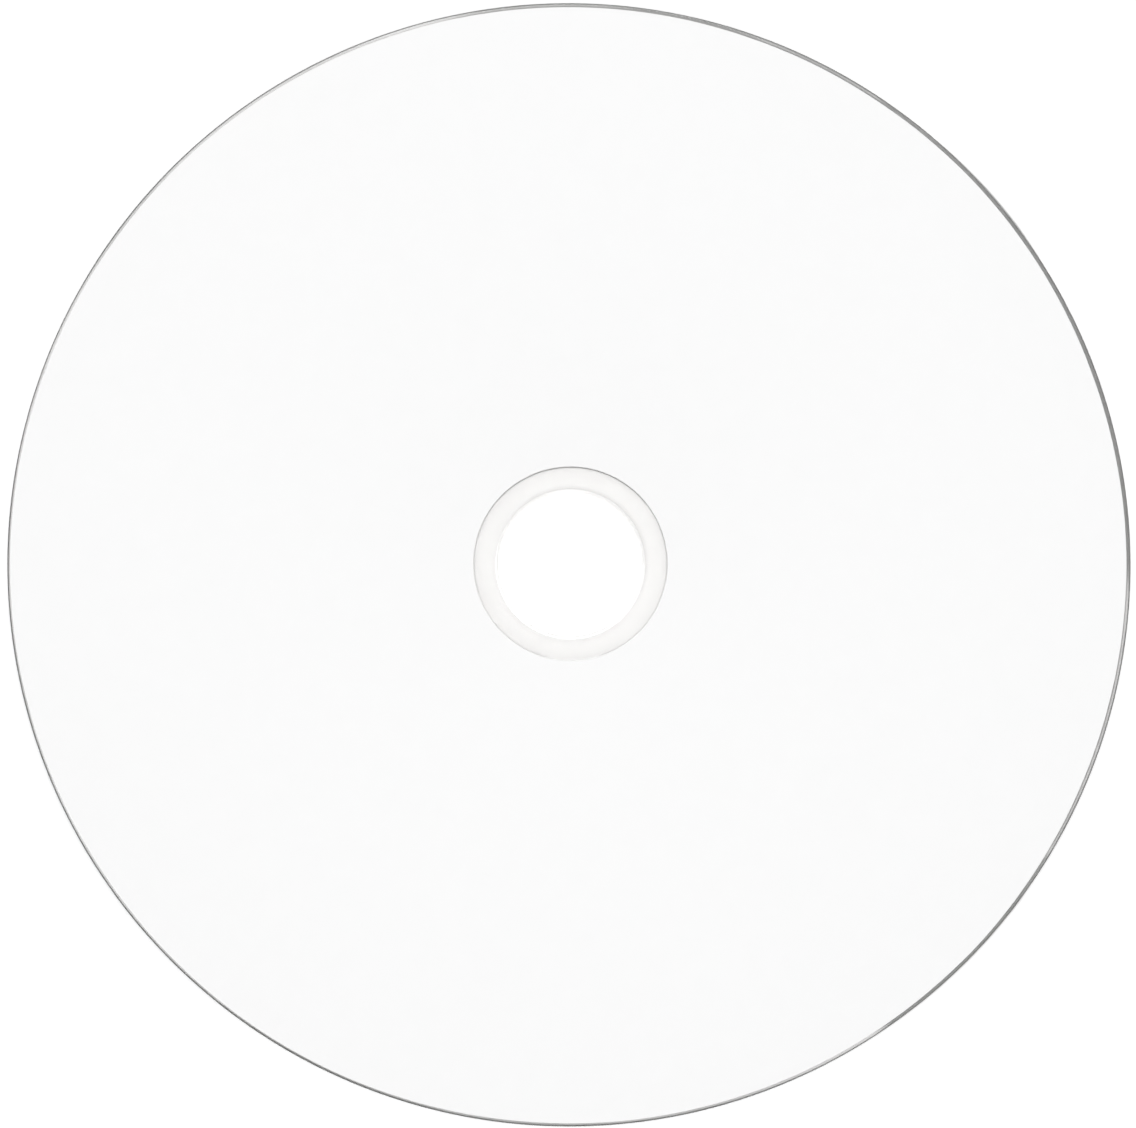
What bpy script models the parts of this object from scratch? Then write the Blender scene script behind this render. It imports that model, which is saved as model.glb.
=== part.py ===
"""A blank recordable compact disc with a full-face printable coat, in metres, +Z up.

The disc lies label side up on its stacking ring. The origin is on the disc's axis, at the foot of that ring.
Every piece is a body of revolution: a closed profile of (radius, height) points, turned by a Screw modifier.
"""

import math

import bpy
from mathutils import Vector

MM = 0.001

# Moulded plate
DISC_DIAMETER = 120.0 * MM  # over the parting line, the widest point of the rim
PLATE_THICKNESS = 1.2 * MM  # from the readout face up to the label face
BORE_DIAMETER = 15.0 * MM  # the hole that centres the disc on a spindle
LEAD_IN_WIDTH = 0.43 * MM  # chamfer round the bore on the label side
LEAD_IN_DEPTH = 0.35 * MM
BORE_EDGE_CHAMFER = 0.12 * MM  # where the punched bore meets the readout face

# Rim of the plate
RIM_ROUND = 0.28 * MM  # radius of both rounded edges
RIM_DRAFT = 0.015 * MM  # how far the wall falls back from the parting line to each rounded edge
PARTING_LINE_SHARE = 0.5  # height of the parting line, as a share of the wall between the rounded edges

# Sunk ring of bare plastic round the bore, on the label side
HUB_RING_DIAMETER = 20.36 * MM  # outer edge of the ring's floor
HUB_RING_DEPTH = 0.08 * MM
HUB_SHOULDER_WIDTH = 0.15 * MM  # the slope from the ring's floor up to the label face

# Stacking ring on the readout side, just outside the area that a drive clamps
STACK_RING_DIAMETER = 34.6 * MM  # middle of the ring's foot
STACK_RING_HEIGHT = 0.25 * MM
STACK_RING_FOOT_WIDTH = 0.40 * MM
STACK_RING_FLANK_WIDTH = 0.30 * MM  # each sloping side, seen from below
STACK_RING_CORNER_ROUND = 0.08 * MM

# Recording dye, reflective metal and lacquer, as one thin band on the label face
BAND_THICKNESS = 0.010 * MM
BAND_INNER_DIAMETER = 38.0 * MM
BAND_EDGE_COVER = 0.50 * MM  # how far the printable coat reaches past the band's outer edge

# Printable coat
COAT_THICKNESS = 0.030 * MM  # over the band; it is thicker where it comes down to the plate
COAT_HUB_MARGIN = 0.025 * MM  # bare plastic between the hub shoulder and the coat
COAT_RIM_MARGIN = 0.120 * MM  # bare plastic between the coat and the rounded rim
COAT_LIP_WIDTH = 0.020 * MM  # the coat's edges lean inwards by this much

# Facets
TURN_STEPS = 180  # facets round the disc
ROUND_STEPS = 4  # facets in each rounded rim edge
CORNER_STEPS = 2  # facets in each corner of the stacking ring
SHARP_ANGLE = math.radians(28)

# Sizes that follow from those above
disc_radius = DISC_DIAMETER / 2
bore_radius = BORE_DIAMETER / 2
hub_ring_radius = HUB_RING_DIAMETER / 2
readout_z = STACK_RING_HEIGHT
label_z = readout_z + PLATE_THICKNESS
hub_floor_z = label_z - HUB_RING_DEPTH
coat_inner_radius = hub_ring_radius + HUB_SHOULDER_WIDTH + COAT_HUB_MARGIN
coat_outer_radius = disc_radius - RIM_DRAFT - RIM_ROUND - COAT_RIM_MARGIN
band_inner_radius = BAND_INNER_DIAMETER / 2
band_outer_radius = coat_outer_radius - BAND_EDGE_COVER


def arc(centre, radius, start, end, steps):
    """Points on an arc about centre, from the angle start to the angle end in degrees, both included."""
    points = []
    for step in range(steps + 1):
        angle = math.radians(start + (end - start) * step / steps)
        points.append((centre[0] + radius * math.cos(angle), centre[1] + radius * math.sin(angle)))
    return points


def rounded_corner(corner, before, after, radius, steps):
    """Points that round a corner off, where the outline comes from before and goes on to after."""
    corner = Vector(corner)
    back = (Vector(before) - corner).normalized()
    ahead = (Vector(after) - corner).normalized()
    half_angle = back.angle(ahead) / 2
    centre = corner + (back + ahead).normalized() * radius / math.sin(half_angle)
    cut_back = radius / math.tan(half_angle)
    first = (corner + back * cut_back - centre).normalized()
    last = (corner + ahead * cut_back - centre).normalized()
    return [tuple(centre + first.slerp(last, step / steps) * radius) for step in range(steps + 1)]


def rim_outline():
    """The rim from the label face down to the readout face: a rounded edge, a wall drafted both ways, and a
    rounded edge."""
    wall_radius = disc_radius - RIM_DRAFT
    upper_z = label_z - RIM_ROUND
    lower_z = readout_z + RIM_ROUND
    parting_z = lower_z + (upper_z - lower_z) * PARTING_LINE_SHARE
    upper_edge = arc((wall_radius - RIM_ROUND, upper_z), RIM_ROUND, 90, 0, ROUND_STEPS)
    lower_edge = arc((wall_radius - RIM_ROUND, lower_z), RIM_ROUND, 0, -90, ROUND_STEPS)
    return upper_edge + [(disc_radius, parting_z)] + lower_edge


def stack_ring_outline():
    """The stacking ring, from its outer root to its inner root: a low ridge with a flat foot and soft corners."""
    middle = STACK_RING_DIAMETER / 2
    foot = STACK_RING_FOOT_WIDTH / 2
    root = foot + STACK_RING_FLANK_WIDTH
    outer_root = (middle + root, readout_z)
    outer_corner = (middle + foot, 0)
    inner_corner = (middle - foot, 0)
    inner_root = (middle - root, readout_z)
    outer_soft = rounded_corner(outer_corner, outer_root, inner_corner, STACK_RING_CORNER_ROUND, CORNER_STEPS)
    inner_soft = rounded_corner(inner_corner, outer_corner, inner_root, STACK_RING_CORNER_ROUND, CORNER_STEPS)
    return [outer_root] + outer_soft + inner_soft + [inner_root]


def bore_outline():
    """The bore, from the readout face up to the floor of the hub ring."""
    return [
        (bore_radius + BORE_EDGE_CHAMFER, readout_z),
        (bore_radius, readout_z + BORE_EDGE_CHAMFER),
        (bore_radius, hub_floor_z - LEAD_IN_DEPTH),
        (bore_radius + LEAD_IN_WIDTH, hub_floor_z),
    ]


def hub_ring_outline():
    """The sunk hub ring's outer edge and the shoulder up to the label face."""
    return [
        (hub_ring_radius, hub_floor_z),
        (hub_ring_radius + HUB_SHOULDER_WIDTH, label_z),
    ]


def substrate_outline():
    return rim_outline() + stack_ring_outline() + bore_outline() + hub_ring_outline()


def band_outline():
    """The band's rectangle, with heights counted from the label face."""
    return [
        (band_outer_radius, BAND_THICKNESS),
        (band_outer_radius, 0),
        (band_inner_radius, 0),
        (band_inner_radius, BAND_THICKNESS),
    ]


def coat_outline():
    """The coat's section, with heights counted from the label face. Its underside steps up over the band, and
    its top is level."""
    top = BAND_THICKNESS + COAT_THICKNESS
    return [
        (coat_outer_radius - COAT_LIP_WIDTH, top),
        (coat_outer_radius, 0),
        (band_outer_radius, 0),
        (band_outer_radius, BAND_THICKNESS),
        (band_inner_radius, BAND_THICKNESS),
        (band_inner_radius, 0),
        (coat_inner_radius, 0),
        (coat_inner_radius + COAT_LIP_WIDTH, top),
    ]


def clear_scene():
    for leftover in list(bpy.data.objects):
        bpy.data.objects.remove(leftover)


def principled(name, colour, roughness, metallic=0.0, transmission=0.0, ior=1.5):
    material = bpy.data.materials.new(name)
    material.use_nodes = True
    shader = material.node_tree.nodes["Principled BSDF"]
    shader.inputs["Base Color"].default_value = (*colour, 1.0)
    shader.inputs["Roughness"].default_value = roughness
    shader.inputs["Metallic"].default_value = metallic
    shader.inputs["Transmission Weight"].default_value = transmission
    shader.inputs["IOR"].default_value = ior
    material.diffuse_color = (*colour, 1.0)
    return material


def clear_polycarbonate():
    return principled("clear_polycarbonate", (0.93, 0.95, 0.95), roughness=0.03, transmission=1.0, ior=1.585)


def dyed_mirror():
    return principled("dyed_mirror", (0.72, 0.80, 0.72), roughness=0.12, metallic=1.0)


def white_printable_coat():
    return principled("white_printable_coat", (0.96, 0.96, 0.96), roughness=0.75)


def turned(name, outline, height, material, parent, collection):
    """An object made by turning a closed outline once round the Z axis. It stands at height, on the axis."""
    mesh = bpy.data.meshes.new(name)
    points = [(radius, 0.0, z) for radius, z in outline]
    edges = [(index, (index + 1) % len(points)) for index in range(len(points))]
    mesh.from_pydata(points, edges, [])
    piece = bpy.data.objects.new(name, mesh)
    collection.objects.link(piece)
    screw = piece.modifiers.new("turn", "SCREW")
    screw.axis = "Z"
    screw.angle = math.tau
    screw.steps = TURN_STEPS
    screw.render_steps = TURN_STEPS
    screw.use_merge_vertices = False
    graph = bpy.context.evaluated_depsgraph_get()
    solid = bpy.data.meshes.new_from_object(piece.evaluated_get(graph))
    piece.modifiers.remove(screw)
    piece.data = solid
    bpy.data.meshes.remove(mesh)
    solid.name = name
    solid.materials.clear()
    solid.materials.append(material)
    solid.shade_smooth()
    solid.set_sharp_from_angle(angle=SHARP_ANGLE)
    piece.parent = parent
    piece.location.z = height
    return piece


def build_disc():
    clear_scene()
    parts = bpy.data.collections.new("compact_disc")
    bpy.context.scene.collection.children.link(parts)
    axis = bpy.data.objects.new("disc_axis", None)
    axis.empty_display_size = disc_radius / 4
    parts.objects.link(axis)
    turned("polycarbonate_substrate", substrate_outline(), 0.0, clear_polycarbonate(), axis, parts)
    turned("reflective_layer", band_outline(), label_z, dyed_mirror(), axis, parts)
    turned("print_coat", coat_outline(), label_z, white_printable_coat(), axis, parts)


build_disc()
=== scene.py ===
import math

import bpy
from mathutils import Matrix, Vector


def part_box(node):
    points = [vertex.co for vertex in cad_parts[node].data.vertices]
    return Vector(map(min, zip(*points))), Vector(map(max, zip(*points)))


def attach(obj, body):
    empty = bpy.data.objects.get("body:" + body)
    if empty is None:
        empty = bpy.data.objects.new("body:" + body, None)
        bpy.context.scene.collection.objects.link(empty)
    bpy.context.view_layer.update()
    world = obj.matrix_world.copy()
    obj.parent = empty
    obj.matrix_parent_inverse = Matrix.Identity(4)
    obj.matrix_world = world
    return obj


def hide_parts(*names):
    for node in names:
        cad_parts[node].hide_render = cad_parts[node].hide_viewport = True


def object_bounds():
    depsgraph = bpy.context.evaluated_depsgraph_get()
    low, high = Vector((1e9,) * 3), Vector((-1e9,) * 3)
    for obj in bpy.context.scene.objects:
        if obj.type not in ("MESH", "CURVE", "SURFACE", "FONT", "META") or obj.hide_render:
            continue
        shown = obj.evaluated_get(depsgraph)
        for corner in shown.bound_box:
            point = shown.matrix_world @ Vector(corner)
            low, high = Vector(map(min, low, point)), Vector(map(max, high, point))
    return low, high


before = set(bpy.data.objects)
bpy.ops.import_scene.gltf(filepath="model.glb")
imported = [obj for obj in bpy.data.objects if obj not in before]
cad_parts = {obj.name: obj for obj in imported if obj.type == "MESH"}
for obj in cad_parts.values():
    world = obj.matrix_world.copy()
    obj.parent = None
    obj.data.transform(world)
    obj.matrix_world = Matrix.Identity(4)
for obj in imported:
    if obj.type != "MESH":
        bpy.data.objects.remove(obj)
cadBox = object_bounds()
print("frame loaded:", ", ".join(sorted(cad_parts)))

mm = 0.001
discRadius = cadBox[1].x / mm  # the rest of the script works in millimetres until a section is made
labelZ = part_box("reflective_layer")[0].z / mm
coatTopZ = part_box("print_coat")[1].z / mm


# Sections

def softSection(corners, arcSteps):
    # corners are (radius, height, softness), and a softness above nought rounds that corner off
    points = []
    for index, (radius, height, softness) in enumerate(corners):
        corner = Vector((radius, height))
        if softness == 0:
            points.append(corner)
            continue
        before = corners[index - 1]
        after = corners[(index + 1) % len(corners)]
        back = (Vector(before[:2]) - corner).normalized()
        ahead = (Vector(after[:2]) - corner).normalized()
        halfAngle = back.angle(ahead) / 2
        cutBack = softness / math.tan(halfAngle)
        centre = corner + (back + ahead).normalized() * softness / math.sin(halfAngle)
        first = (corner + back * cutBack - centre).normalized()
        last = (corner + ahead * cutBack - centre).normalized()
        for step in range(arcSteps + 1):
            points.append(centre + first.slerp(last, step / arcSteps) * softness)
    return points


# Geometry Nodes: a closed section carried once round the disc's axis

def joined(tree, kind, *sources, **settings):
    # a node whose inputs are, in order, plain values, linked sockets or None to leave one alone
    node = tree.nodes.new(kind)
    for name, value in settings.items():
        setattr(node, name, value)
    inputs = [socket for socket in node.inputs if socket.enabled]
    for socket, source in zip(inputs, sources):
        if isinstance(source, bpy.types.NodeSocket):
            tree.links.new(source, socket)
        elif source is not None:
            socket.default_value = source
    return next(socket for socket in node.outputs if socket.enabled)


def buildTurningTree():
    tree = bpy.data.node_groups.new("turnedPiece", "GeometryNodeTree")
    sockets = [
        ("Section", "NodeSocketGeometry", None),
        ("Segments", "NodeSocketInt", 720),
        ("Path Radius", "NodeSocketFloat", 0.03),
        ("Rim Edge", "NodeSocketFloat", 0.06),
        ("Rim Waver", "NodeSocketFloat", 0.0),
        ("Rim Off Centre", "NodeSocketVector", (0, 0, 0)),
        ("Hub Edge", "NodeSocketFloat", 0.01),
        ("Hub Waver", "NodeSocketFloat", 0.0),
        ("Edge Reach", "NodeSocketFloat", 0.0003),
        ("Waver Scale", "NodeSocketFloat", 3.0),
        ("Waver Detail", "NodeSocketFloat", 4.0),
        ("Waver Roughness", "NodeSocketFloat", 0.6),
        ("Seed", "NodeSocketFloat", 0.0),
        ("Material", "NodeSocketMaterial", None),
    ]
    for name, kind, value in sockets:
        made = tree.interface.new_socket(name, in_out="INPUT", socket_type=kind)
        if value is not None:
            made.default_value = value
    tree.interface.new_socket("Piece", in_out="OUTPUT", socket_type="NodeSocketGeometry")
    given = tree.nodes.new("NodeGroupInput").outputs

    path = joined(tree, "GeometryNodeCurvePrimitiveCircle", given["Segments"], given["Path Radius"])
    shell = joined(tree, "GeometryNodeCurveToMesh", path, given["Section"])

    # outward direction of each point and its distance from the axis
    place = joined(tree, "GeometryNodeInputPosition")
    flatPlace = joined(tree, "ShaderNodeVectorMath", place, (1, 1, 0), operation="MULTIPLY")
    distance = joined(tree, "ShaderNodeVectorMath", flatPlace, operation="LENGTH")
    outward = joined(tree, "ShaderNodeVectorMath", flatPlace, operation="NORMALIZE")

    # printed edges waver and may sit off centre; both fade out within a short reach of the edge
    rimStart = joined(tree, "ShaderNodeMath", given["Rim Edge"], given["Edge Reach"], operation="SUBTRACT")
    rimShare = joined(tree, "ShaderNodeMath", distance, rimStart, operation="GREATER_THAN")
    hubEnd = joined(tree, "ShaderNodeMath", given["Hub Edge"], given["Edge Reach"], operation="ADD")
    hubShare = joined(tree, "ShaderNodeMath", distance, hubEnd, operation="LESS_THAN")
    seedShift = joined(tree, "ShaderNodeCombineXYZ", 0.0, 0.0, given["Seed"])
    walk = joined(tree, "ShaderNodeVectorMath", outward, seedShift, operation="ADD")
    grain = (given["Waver Scale"], given["Waver Detail"], given["Waver Roughness"])
    noise = joined(tree, "ShaderNodeTexNoise", walk, *grain)
    swing = joined(tree, "ShaderNodeMath", noise, 0.5, operation="SUBTRACT")  # in and out alike
    rimAmount = joined(tree, "ShaderNodeMath", rimShare, given["Rim Waver"], operation="MULTIPLY")
    hubAmount = joined(tree, "ShaderNodeMath", hubShare, given["Hub Waver"], operation="MULTIPLY")
    amount = joined(tree, "ShaderNodeMath", rimAmount, hubAmount, operation="ADD")
    push = joined(tree, "ShaderNodeMath", amount, swing, operation="MULTIPLY")
    waver = joined(tree, "ShaderNodeVectorMath", outward, push, operation="SCALE")
    slide = joined(tree, "ShaderNodeVectorMath", given["Rim Off Centre"], rimShare, operation="SCALE")
    offset = joined(tree, "ShaderNodeVectorMath", waver, slide, operation="ADD")

    shaped = joined(tree, "GeometryNodeSetPosition", shell, None, None, offset)
    smooth = joined(tree, "GeometryNodeSetShadeSmooth", shaped)
    real = joined(tree, "GeometryNodeRealizeInstances", smooth)
    dressed = joined(tree, "GeometryNodeSetMaterial", real, None, given["Material"])
    result = tree.nodes.new("NodeGroupOutput")
    tree.links.new(dressed, result.inputs["Piece"])
    return tree


def turnedPiece(name, section, tree, material, sharpAngle, **inputs):
    curve = bpy.data.curves.new(name + "Section", "CURVE")
    curve.dimensions = "3D"
    spline = curve.splines.new("POLY")
    spline.points.add(len(section) - 1)
    pathRadius = discRadius / 2
    for point, (radius, height) in zip(spline.points, section):
        # the sweep turns the section's Y downwards
        point.co = ((radius - pathRadius) * mm, -height * mm, 0, 1)
    spline.use_cyclic_u = True
    sweep = bpy.data.objects.new(name + "Sweep", curve)
    bpy.context.scene.collection.objects.link(sweep)
    modifier = sweep.modifiers.new("turn", "NODES")
    modifier.node_group = tree
    identifiers = {}
    for item in tree.interface.items_tree:
        if item.in_out == "INPUT":
            identifiers[item.name] = item.identifier
    modifier[identifiers["Path Radius"]] = pathRadius * mm
    modifier[identifiers["Material"]] = material
    for inputName, value in inputs.items():
        modifier[identifiers[inputName]] = value
    graph = bpy.context.evaluated_depsgraph_get()
    mesh = bpy.data.meshes.new_from_object(sweep.evaluated_get(graph))
    sweep.modifiers.remove(modifier)
    bpy.data.objects.remove(sweep)
    mesh.name = name
    mesh.set_sharp_from_angle(angle=math.radians(sharpAngle))
    piece = bpy.data.objects.new(name, mesh)
    bpy.context.scene.collection.objects.link(piece)
    print(name, "made,", len(mesh.polygons), "faces")
    return piece


# Materials

def newMaterial(name):
    material = bpy.data.materials.new(name)
    material.use_nodes = True
    return material, material.node_tree, material.node_tree.nodes["Principled BSDF"]


def objectPlace(tree):
    return tree.nodes.new("ShaderNodeTexCoord").outputs["Object"]


def axisDistance(tree, place):
    flat = joined(tree, "ShaderNodeVectorMath", place, (1, 1, 0), operation="MULTIPLY")
    return joined(tree, "ShaderNodeVectorMath", flat, operation="LENGTH")


def distanceFrom(tree, place, centre):
    # from an upright line through the centre, which is in millimetres
    centred = [value * mm for value in centre]
    moved = joined(tree, "ShaderNodeVectorMath", place, centred, operation="SUBTRACT")
    return axisDistance(tree, moved)


def ramp(tree, value, fromLow, fromHigh, toLow, toHigh):
    return joined(tree, "ShaderNodeMapRange", value, fromLow, fromHigh, toLow, toHigh)


def noiseAt(tree, place, grain, detail=2.0, rough=0.5):
    # grain is the size of the blotches in millimetres
    return joined(tree, "ShaderNodeTexNoise", place, 1 / (grain * mm), detail, rough)


def blendColours(tree, share, first, second):
    return joined(tree, "ShaderNodeMix", share, first, second, data_type="RGBA")


def bump(tree, height, depth, before=None):
    # depth is in millimetres, from the lowest to the highest
    node = tree.nodes.new("ShaderNodeBump")
    node.inputs["Distance"].default_value = depth * mm
    tree.links.new(height, node.inputs["Height"])
    if before is not None:
        tree.links.new(before, node.inputs["Normal"])
    return node.outputs["Normal"]


coatLook = {
    "darkerWhite": (0.828, 0.828, 0.828, 1),
    "lighterWhite": (0.843, 0.843, 0.843, 1),
    "mottleGrain": 2.4,
    "mottleDetail": 5.0,
    "roughness": (0.52, 0.64),
    "roughnessSpread": (0.3, 0.7),  # the part of the noise that runs from one roughness to the other
    "roughnessGrain": 0.9,
    "roughnessDetail": 3.0,
    "peelGrain": 0.55,
    "peelDepth": 0.0016,
    "powderGrain": 0.07,
    "powderDepth": 0.0012,
}


def coatMaterial():
    look = coatLook
    material, tree, shader = newMaterial("printableWhiteCoat")
    place = objectPlace(tree)
    mottle = noiseAt(tree, place, look["mottleGrain"], look["mottleDetail"])
    white = blendColours(tree, mottle, look["darkerWhite"], look["lighterWhite"])
    tree.links.new(white, shader.inputs["Base Color"])
    sheen = noiseAt(tree, place, look["roughnessGrain"], look["roughnessDetail"])
    roughness = ramp(tree, sheen, *look["roughnessSpread"], *look["roughness"])
    tree.links.new(roughness, shader.inputs["Roughness"])
    peel = bump(tree, noiseAt(tree, place, look["peelGrain"]), look["peelDepth"])
    powder = bump(tree, noiseAt(tree, place, look["powderGrain"]), look["powderDepth"], peel)
    tree.links.new(powder, shader.inputs["Normal"])
    return material


plateLook = {
    "tint": (1.0, 0.994, 0.985, 1),
    "paintedEdgeShade": (0.72, 0.72, 0.72, 1),  # painted shade: a grey ring just outside the lead-in, standing for the shade along the hole's edge
    "paintedEdgeShadeRadius": (7.75, 8.27),
    # the painted shade's middle sits off the axis, so the ring is darker towards the upper right
    "paintedEdgeShadeCentre": (0.10, 0.17, 0),
    "paintedEdgeShadeAbove": 1.0,  # the plastic below this height stays clear
    "refraction": 1.585,
    "clearRoughness": 0.004,
    "frostRoughness": 0.35,
    "frostRadius": (7.93, 7.97),
    "flowGrain": 3.0,
    "flowDepth": 0.0004,
}


def plateMaterial():
    look = plateLook
    material, tree, shader = newMaterial("clearPolycarbonate")
    place = objectPlace(tree)
    shader.inputs["Transmission Weight"].default_value = 1.0
    shader.inputs["IOR"].default_value = look["refraction"]
    distance = axisDistance(tree, place)
    frostStart, frostEnd = [radius * mm for radius in look["frostRadius"]]
    # painted shade: a grey ring round the lead-in, centred off the axis so that it is darker towards the
    # upper right
    greyStart, greyEnd = [radius * mm for radius in look["paintedEdgeShadeRadius"]]
    fromShadeCentre = distanceFrom(tree, place, look["paintedEdgeShadeCentre"])
    beyondPaintedShade = ramp(tree, fromShadeCentre, greyStart, greyEnd, 0.0, 1.0)
    onLeadIn = joined(tree, "ShaderNodeMath", distance, frostStart, operation="LESS_THAN")
    split = tree.nodes.new("ShaderNodeSeparateXYZ")
    tree.links.new(place, split.inputs[0])
    greyAbove = look["paintedEdgeShadeAbove"] * mm
    below = joined(tree, "ShaderNodeMath", split.outputs["Z"], greyAbove, operation="LESS_THAN")
    spared = joined(tree, "ShaderNodeMath", onLeadIn, below, operation="MAXIMUM")
    clearShare = joined(tree, "ShaderNodeMath", beyondPaintedShade, spared, operation="MAXIMUM")
    tint = blendColours(tree, clearShare, look["paintedEdgeShade"], look["tint"])
    tree.links.new(tint, shader.inputs["Base Color"])
    frost = ramp(tree, distance, frostStart, frostEnd, look["frostRoughness"], look["clearRoughness"])
    tree.links.new(frost, shader.inputs["Roughness"])
    flow = bump(tree, noiseAt(tree, place, look["flowGrain"]), look["flowDepth"])
    tree.links.new(flow, shader.inputs["Normal"])
    return material


bandLook = {
    "plainSilver": (0.86, 0.86, 0.85, 1),
    "dyedSilver": (0.78, 0.88, 0.81, 1),
    "thickDyeSilver": (0.735, 0.86, 0.785, 1),  # spun dye settles a little thicker in soft clouds
    "dyeCloud": 14.0,
    "dyeCloudDetail": 3.0,
    "dyeStart": 21.75,
    "dyeEdge": 0.2,
    "roughness": 0.14,
    "grooveShimmer": 0.75,  # the fine groove runs round the axis and draws highlights out along the radius
}


def bandMaterial():
    look = bandLook
    material, tree, shader = newMaterial("dyedMirrorLayer")
    place = objectPlace(tree)
    distance = axisDistance(tree, place)
    dyeStart = look["dyeStart"] * mm
    dyed = ramp(tree, distance, dyeStart, dyeStart + look["dyeEdge"] * mm, 0.0, 1.0)
    cloud = noiseAt(tree, place, look["dyeCloud"], look["dyeCloudDetail"])
    dye = blendColours(tree, cloud, look["dyedSilver"], look["thickDyeSilver"])
    silver = blendColours(tree, dyed, look["plainSilver"], dye)
    tree.links.new(silver, shader.inputs["Base Color"])
    shader.inputs["Metallic"].default_value = 1.0
    shader.inputs["Roughness"].default_value = look["roughness"]
    shader.inputs["Anisotropic"].default_value = look["grooveShimmer"]
    return material


# Pieces

turningTree = buildTurningTree()

plateSizes = {
    "readoutZ": 0.25,  # the disc stands on its stacking ring, so this face is a little above the floor
    "rimSoftness": 0.28,
    "rimDraft": 0.028,  # how far the wall falls back between the parting line and each face
    "boreRadius": 7.5,
    "boreChamfer": 0.12,
    "leadInRadius": 7.93,
    "leadInDepth": 0.35,
    "hubFloorDepth": 0.08,
    "hubFloorRadius": 10.18,
    "shoulderRadius": 10.33,
    "stackRingRadius": 17.3,
    "stackRingFoot": 0.2,
    "stackRingFlank": 0.3,
    "stackRingSoftness": 0.08,
    "edgeSoftness": 0.05,
    "boreSoftness": 0.02,
    "hubSoftness": 0.03,
    "arcSteps": 8,
    "sharpAngle": 30,
}


def makePlate():
    s = plateSizes
    readoutZ = s["readoutZ"]
    partingZ = (labelZ + readoutZ) / 2
    wallRadius = discRadius - s["rimDraft"]
    hubFloorZ = labelZ - s["hubFloorDepth"]
    soft = s["edgeSoftness"]
    footSoft = s["stackRingSoftness"]
    boreSoft = s["boreSoftness"]
    hubSoft = s["hubSoftness"]
    corners = [
        (wallRadius, labelZ, s["rimSoftness"]),
        (discRadius, partingZ, 0),
        (wallRadius, readoutZ, s["rimSoftness"]),
        (s["stackRingRadius"] + s["stackRingFoot"] + s["stackRingFlank"], readoutZ, soft),
        (s["stackRingRadius"] + s["stackRingFoot"], 0, footSoft),
        (s["stackRingRadius"] - s["stackRingFoot"], 0, footSoft),
        (s["stackRingRadius"] - s["stackRingFoot"] - s["stackRingFlank"], readoutZ, soft),
        (s["boreRadius"] + s["boreChamfer"], readoutZ, boreSoft),
        (s["boreRadius"], readoutZ + s["boreChamfer"], boreSoft),
        (s["boreRadius"], hubFloorZ - s["leadInDepth"], soft),
        (s["leadInRadius"], hubFloorZ, boreSoft),
        (s["hubFloorRadius"], hubFloorZ, hubSoft),
        (s["shoulderRadius"], labelZ, hubSoft),
    ]
    section = softSection(corners, s["arcSteps"])
    plate = turnedPiece("clearPlate", section, turningTree, plateMaterial(), s["sharpAngle"])
    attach(plate, "root")
    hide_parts("polycarbonate_substrate")


bandSizes = {
    "innerRadius": 19.005,
    "outerRadius": 59.080,
    "sunk": 0.008,  # it lies this deep in the plate, so that no two faces share a place
    "thickness": 0.014,
    "sharpAngle": 30,
}


def makeBand():
    s = bandSizes
    low = labelZ - s["sunk"]
    high = low + s["thickness"]
    section = [
        (s["outerRadius"], high),
        (s["outerRadius"], low),
        (s["innerRadius"], low),
        (s["innerRadius"], high),
    ]
    band = turnedPiece("mirrorBand", section, turningTree, bandMaterial(), s["sharpAngle"])
    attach(band, "root")
    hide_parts("reflective_layer")


coatSizes = {
    "hubRadius": 10.355,
    "rimRadius": 59.585,
    "bandInner": 19.0,
    "bandOuter": 59.085,
    "overBand": 0.010,
    "sunk": 0.010,
    "edgeLean": 0.020,
    "edgeSoftness": 0.012,
    "rimWaver": 0.16,
    "rimOffCentre": (-0.085, -0.060, 0),
    "hubWaver": 0.05,
    "edgeReach": 0.3,  # how near an edge a point has to be to move with it
    "waverScale": 2.6,
    "seed": 4.0,
    "segments": 1440,
    "arcSteps": 3,
    "sharpAngle": 40,
}


def makeCoat():
    s = coatSizes
    low = labelZ - s["sunk"]
    step = labelZ + s["overBand"]
    soft = s["edgeSoftness"]
    corners = [
        (s["rimRadius"] - s["edgeLean"], coatTopZ, soft),
        (s["rimRadius"], low, 0),
        (s["bandOuter"], low, 0),
        (s["bandOuter"], step, 0),
        (s["bandInner"], step, 0),
        (s["bandInner"], low, 0),
        (s["hubRadius"], low, 0),
        (s["hubRadius"] + s["edgeLean"], coatTopZ, soft),
    ]
    inputs = {
        "Segments": s["segments"],
        "Rim Edge": s["rimRadius"] * mm,
        "Rim Waver": s["rimWaver"] * mm,
        "Rim Off Centre": [value * mm for value in s["rimOffCentre"]],
        "Hub Edge": s["hubRadius"] * mm,
        "Hub Waver": s["hubWaver"] * mm,
        "Edge Reach": s["edgeReach"] * mm,
        "Waver Scale": s["waverScale"],
        "Seed": s["seed"],
    }
    section = softSection(corners, s["arcSteps"])
    coat = turnedPiece("whiteCoat", section, turningTree, coatMaterial(), s["sharpAngle"], **inputs)
    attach(coat, "root")
    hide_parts("print_coat")


makePlate()
makeBand()
makeCoat()


# Studio

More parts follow.
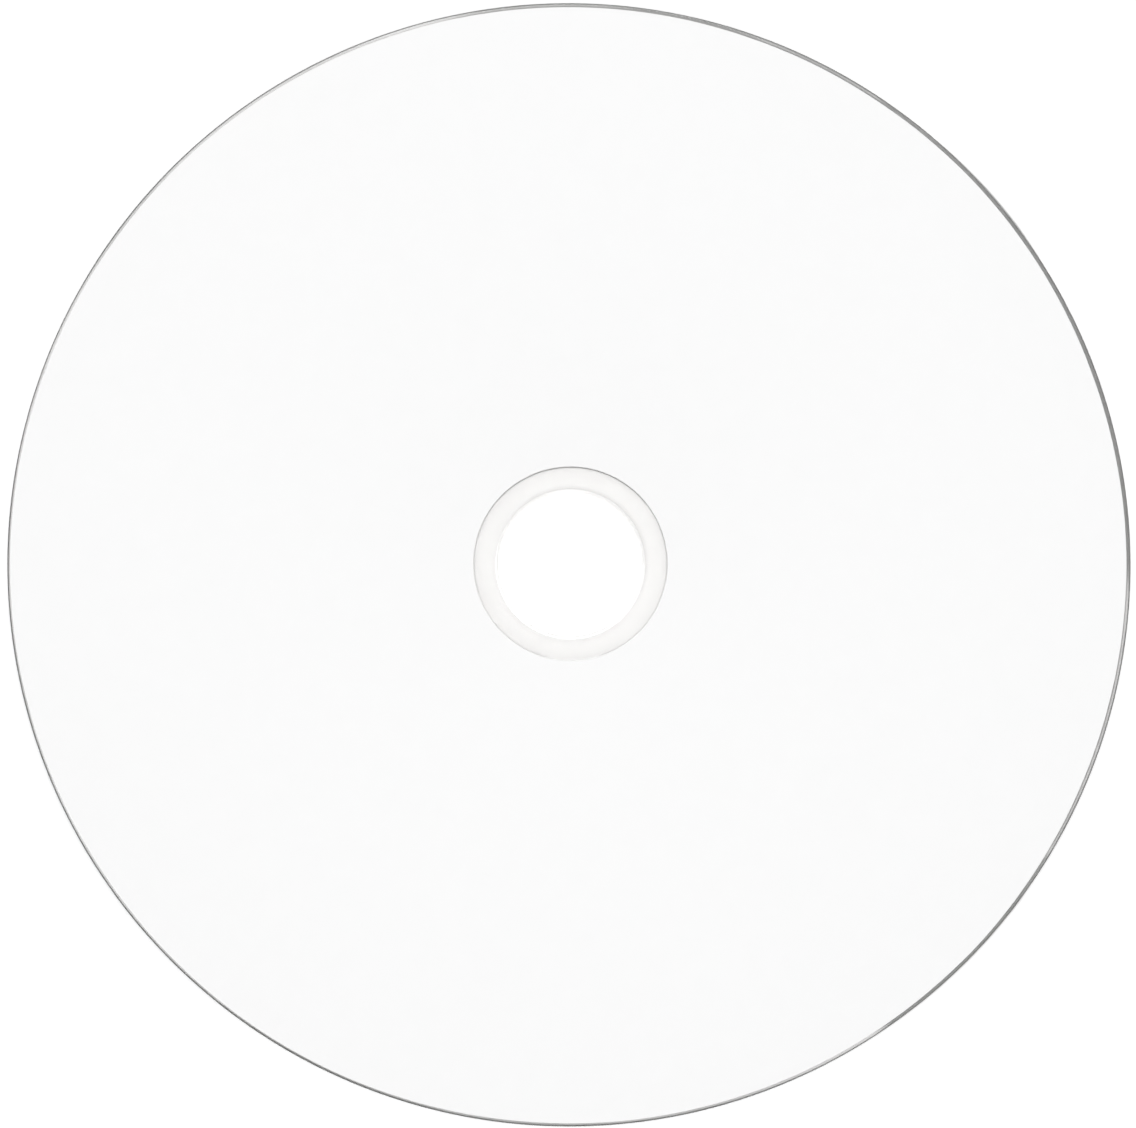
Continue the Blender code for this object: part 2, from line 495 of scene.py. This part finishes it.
floorLook = {
    "radius": 3500.0,
    "sides": 64,
    "white": (0.75, 0.75, 0.75, 1),
    "shade": (0.739, 0.739, 0.739, 1),
    "shadeGrain": 40.0,
    "shadeDetail": 3.0,
    "roughness": 0.9,
    "gloss": 0.1,
    "glow": 0.62,  # the floor is a light table
    "boreGlow": 4.0,  # the light is stronger right under the disc's hole
    "boreGlowRadius": 7.94,
    "boreGlowCentre": (0.0, -0.08, 0),
    "leadInGlow": -0.05,  # a little weaker round it
    "leadInGlowRadius": 8.6,
    "ringGlow": 0.14,  # and rises again towards the edge of the card's hole
    "ringGlowStart": 9.1,
    "ringGlowPast": 1.0,  # how far it goes on past that edge
}

shadeCardLook = {
    # a thin card under the disc keeps the table's light off it, apart from a hole under the hub; its grey
    # is painted shade under the disc, and where it reaches past the rim it is a painted shadow
    "paintedShadeGrey": (0.55, 0.55, 0.55, 1),
    "radius": 59.66,
    "edge": 0.10,  # half the width over which the card fades out
    "waver": 0.10,
    "waverScale": 2.5,
    "waverDetail": 3.0,
    "waverRoughness": 0.5,
    # where the card and its painted shade come out further, or less far where the last value is below
    # nought:
    # degrees from the picture's right, reach to each side in degrees, millimetres
    "tongues": [
        (27, 30, 0.42),
        (42, 10, 0.15),
        (87, 18, 0.13),
        (260, 45, 0.08),
        (316, 13, 0.45),
        (350, 25, 0.08),
        (65, 22, 0.12),
        (329, 8, 0.05),
        (168, 24, -0.04),
        (292, 20, -0.04),
    ],
    "holeRadius": 10.66,
    "holeCentre": (0.02, -0.11, 0),
    "holeShade": 0.045,  # how much the light in the hole falls off from one side to the other
    "holeShadeTowards": 250.0,
}


def flatDirection(degrees):
    return (math.cos(math.radians(degrees)), math.sin(math.radians(degrees)), 0)


def shadeCardHole(tree, place):
    # one where the table's light comes up through the card's hole
    c = shadeCardLook
    holeRadius = c["holeRadius"] * mm
    edge = c["edge"] * mm
    fromHole = distanceFrom(tree, place, c["holeCentre"])
    hole = ramp(tree, fromHole, holeRadius - edge, holeRadius + edge, 1.0, 0.0)
    towards = flatDirection(c["holeShadeTowards"])
    across = joined(tree, "ShaderNodeVectorMath", place, towards, operation="DOT_PRODUCT")
    dimmer = ramp(tree, across, -holeRadius, holeRadius, 1.0, 1.0 - c["holeShade"])
    return joined(tree, "ShaderNodeMath", hole, dimmer, operation="MULTIPLY")


def beyondShadeCard(tree, place):
    # one outside the card, nought on it
    c = shadeCardLook
    edge = c["edge"] * mm
    direction = joined(tree, "ShaderNodeVectorMath", place, operation="NORMALIZE")
    grain = (c["waverScale"], c["waverDetail"], c["waverRoughness"])
    cut = joined(tree, "ShaderNodeTexNoise", direction, *grain)
    low = (c["radius"] - c["waver"]) * mm
    high = (c["radius"] + c["waver"]) * mm
    reached = ramp(tree, cut, 0.0, 1.0, low, high)
    for degrees, reach, extra in c["tongues"]:
        middle = flatDirection(degrees)
        facing = joined(tree, "ShaderNodeVectorMath", direction, middle, operation="DOT_PRODUCT")
        outer = math.cos(math.radians(reach))
        inner = math.cos(math.radians(reach / 2))  # the full extra holds over the middle half
        tongue = ramp(tree, facing, outer, inner, 0.0, extra * mm)
        reached = joined(tree, "ShaderNodeMath", reached, tongue, operation="ADD")
    past = joined(tree, "ShaderNodeMath", axisDistance(tree, place), reached, operation="SUBTRACT")
    return ramp(tree, past, -edge, edge, 0.0, 1.0)


def makeFloor():
    f = floorLook
    radius = f["radius"] * mm
    mesh = bpy.data.meshes.new("studioFloor")
    corners = []
    for step in range(f["sides"]):
        angle = math.tau * step / f["sides"]
        corners.append((radius * math.cos(angle), radius * math.sin(angle), 0))
    mesh.from_pydata(corners, [], [list(range(f["sides"]))])
    floor = bpy.data.objects.new("studioFloor", mesh)
    bpy.context.scene.collection.objects.link(floor)

    material, tree, shader = newMaterial("paleStudioFloor")
    place = objectPlace(tree)
    lit = joined(tree, "ShaderNodeMath", shadeCardHole(tree, place), beyondShadeCard(tree, place), operation="ADD")
    cloud = noiseAt(tree, place, f["shadeGrain"], f["shadeDetail"])
    white = blendColours(tree, cloud, f["shade"], f["white"])
    # painted shade: the floor's colour turns grey where the card lies under the disc and just past its rim
    tree.links.new(blendColours(tree, lit, shadeCardLook["paintedShadeGrey"], white), shader.inputs["Base Color"])
    tree.links.new(white, shader.inputs["Emission Color"])
    distance = axisDistance(tree, place)
    edge = shadeCardLook["edge"] * mm
    boreRadius = f["boreGlowRadius"] * mm
    fromBore = distanceFrom(tree, place, f["boreGlowCentre"])
    underBore = ramp(tree, fromBore, boreRadius - edge, boreRadius + edge, f["boreGlow"], 0.0)
    leadInRadius = f["leadInGlowRadius"] * mm
    underLeadIn = ramp(tree, distance, leadInRadius - edge, leadInRadius + edge, f["leadInGlow"], 0.0)
    holeRadius = shadeCardLook["holeRadius"] * mm
    rising = ramp(tree, distance, f["ringGlowStart"] * mm, holeRadius, 0.0, f["ringGlow"])
    glowEnd = holeRadius + f["ringGlowPast"] * mm
    nearHole = joined(tree, "ShaderNodeMath", distance, glowEnd, operation="LESS_THAN")
    underRing = joined(tree, "ShaderNodeMath", rising, nearHole, operation="MULTIPLY")
    middle = joined(tree, "ShaderNodeMath", underBore, underLeadIn, operation="ADD")
    extra = joined(tree, "ShaderNodeMath", middle, underRing, operation="ADD")
    share = joined(tree, "ShaderNodeMath", extra, 1.0, operation="ADD")
    strength = joined(tree, "ShaderNodeMath", lit, share, operation="MULTIPLY")
    glow = joined(tree, "ShaderNodeMath", strength, f["glow"], operation="MULTIPLY")
    tree.links.new(glow, shader.inputs["Emission Strength"])
    shader.inputs["Roughness"].default_value = f["roughness"]
    shader.inputs["Specular IOR Level"].default_value = f["gloss"]
    mesh.materials.append(material)


lamps = {
    # azimuth and height above the horizon in degrees, distance and width in metres, power in watts
    # a lamp at azimuth 0 is over the picture's top
    "keyPanel": (0, 45, 2.2, 1.2, 12.6),
    "leftPanel": (120, 55, 1.3, 0.8, 2.68),
    "rightPanel": (-120, 55, 1.3, 0.8, 2.68),
}


def makeLamps():
    for name, (azimuth, height, distance, width, power) in lamps.items():
        around = math.radians(90 + azimuth)
        above = math.radians(height)
        flat = math.cos(above)
        toLamp = Vector((math.cos(around) * flat, math.sin(around) * flat, math.sin(above)))
        lamp = bpy.data.lights.new(name, "AREA")
        lamp.shape = "DISK"
        lamp.size = width
        lamp.energy = power
        holder = bpy.data.objects.new(name, lamp)
        holder.location = toLamp * distance
        holder.rotation_euler = toLamp.to_track_quat("Z", "Y").to_euler()
        bpy.context.scene.collection.objects.link(holder)


skyLook = {
    "top": 0.95,
    "edge": 0.30,
    "backdrop": 1.0,  # what the camera sees behind the floor
}


def makeWorld():
    world = bpy.data.worlds.new("paleStudio")
    world.use_nodes = True
    tree = world.node_tree
    sky = tree.nodes["Background"]
    direction = tree.nodes.new("ShaderNodeTexCoord").outputs["Generated"]
    height = tree.nodes.new("ShaderNodeSeparateXYZ")
    tree.links.new(direction, height.inputs[0])
    light = ramp(tree, height.outputs["Z"], 0.0, 1.0, skyLook["edge"], skyLook["top"])
    tree.links.new(light, sky.inputs["Strength"])
    backdrop = tree.nodes.new("ShaderNodeBackground")
    backdrop.inputs["Color"].default_value = (1, 1, 1, 1)
    sky.inputs["Color"].default_value = (1, 1, 1, 1)
    backdrop.inputs["Strength"].default_value = skyLook["backdrop"]
    seen = tree.nodes.new("ShaderNodeLightPath").outputs["Is Camera Ray"]
    either = joined(tree, "ShaderNodeMixShader", seen, sky.outputs[0], backdrop.outputs[0])
    tree.links.new(either, tree.nodes["World Output"].inputs["Surface"])
    bpy.context.scene.world = world


cameraSetup = {
    "distance": 600.0,
    "pixelsPerMm": 9.362,
    "frameWidth": 1136,
    "tilt": 2.05,
    "tiltTowards": 222.0,  # the side that the camera stands over, counted from the picture's right
    "aim": (-0.251, -0.042, 0.85),
    "sensorWidth": 36,
    "clipStart": 0.01,  # in metres, as the end is
    "clipEnd": 10,
}


def makeCamera():
    c = cameraSetup
    camera = bpy.data.cameras.new("photoCamera")
    camera.sensor_width = c["sensorWidth"]
    camera.lens = camera.sensor_width * c["distance"] * c["pixelsPerMm"] / c["frameWidth"]
    camera.clip_start = c["clipStart"]
    camera.clip_end = c["clipEnd"]
    holder = bpy.data.objects.new("photoCamera", camera)
    towards = math.radians(c["tiltTowards"])
    tilt = math.radians(c["tilt"])
    lean = math.sin(tilt)
    back = Vector((math.cos(towards) * lean, math.sin(towards) * lean, math.cos(tilt)))
    target = Vector(c["aim"]) * mm
    holder.location = target + back * c["distance"] * mm
    # the picture's top faces along Y
    side = Vector((0, 1, 0)).cross(back).normalized()
    up = back.cross(side)
    rotation = [[side[i], up[i], back[i]] for i in range(3)]
    holder.rotation_euler = Matrix(rotation).to_euler()
    bpy.context.scene.collection.objects.link(holder)
    bpy.context.scene.camera = holder


makeFloor()
makeLamps()
makeWorld()
makeCamera()
bpy.context.scene.view_settings.view_transform = "Standard"
print("studio ready")
